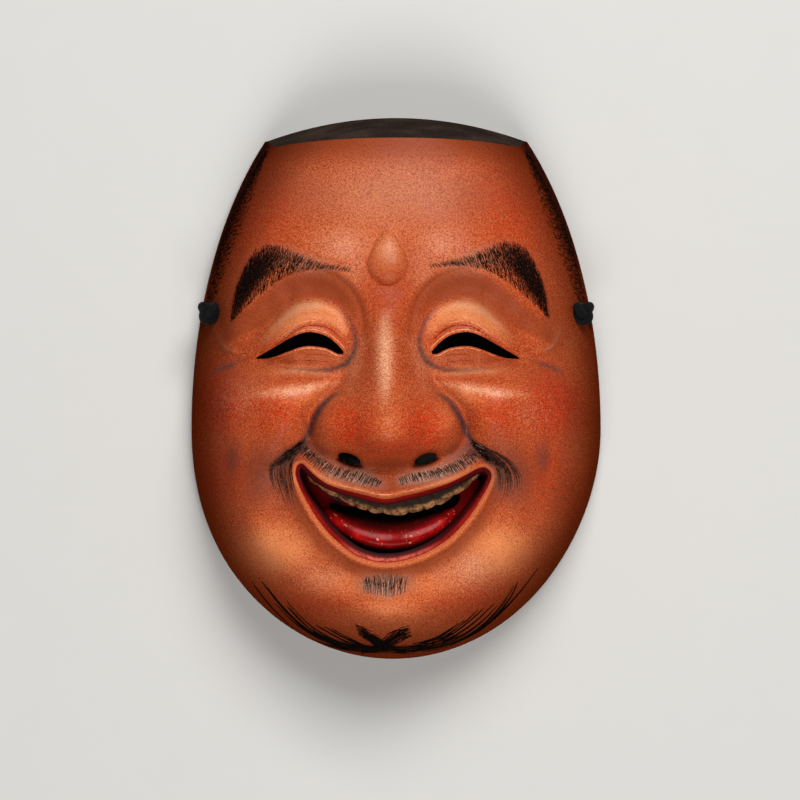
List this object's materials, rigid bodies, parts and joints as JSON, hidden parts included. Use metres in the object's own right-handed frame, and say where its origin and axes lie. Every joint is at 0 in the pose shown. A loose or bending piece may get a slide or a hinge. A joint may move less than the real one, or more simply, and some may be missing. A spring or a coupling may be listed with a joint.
{
  "type": "kyogen mask",
  "caption": "Carved wooden theatre mask of a laughing face with pierced eye slits and an open mouth, hollow behind, with a braided cord at each temple.",
  "frame": {"origin": "middle of the mask's bounding box in plan, on the flat back rim that the mask lies on", "axes": "+Z out of the face, +Y to the crown, +X to the viewer's right"},
  "size_m": [0.151, 0.1996, 0.0835],
  "materials": {
    "painted_wood": "fine stippled orange-brown paint with a satin sheen, over carved wood",
    "braid": "black braided cord"
  },
  "bodies": {
    "root": {"mask": "painted_wood", "left_cord": "braid", "left_cord_coil": "braid", "left_cord_knot": "braid", "left_cord_end": "braid", "right_cord": "braid", "right_cord_coil": "braid", "right_cord_knot": "braid", "right_cord_end": "braid"}
  },
  "joints": []
}
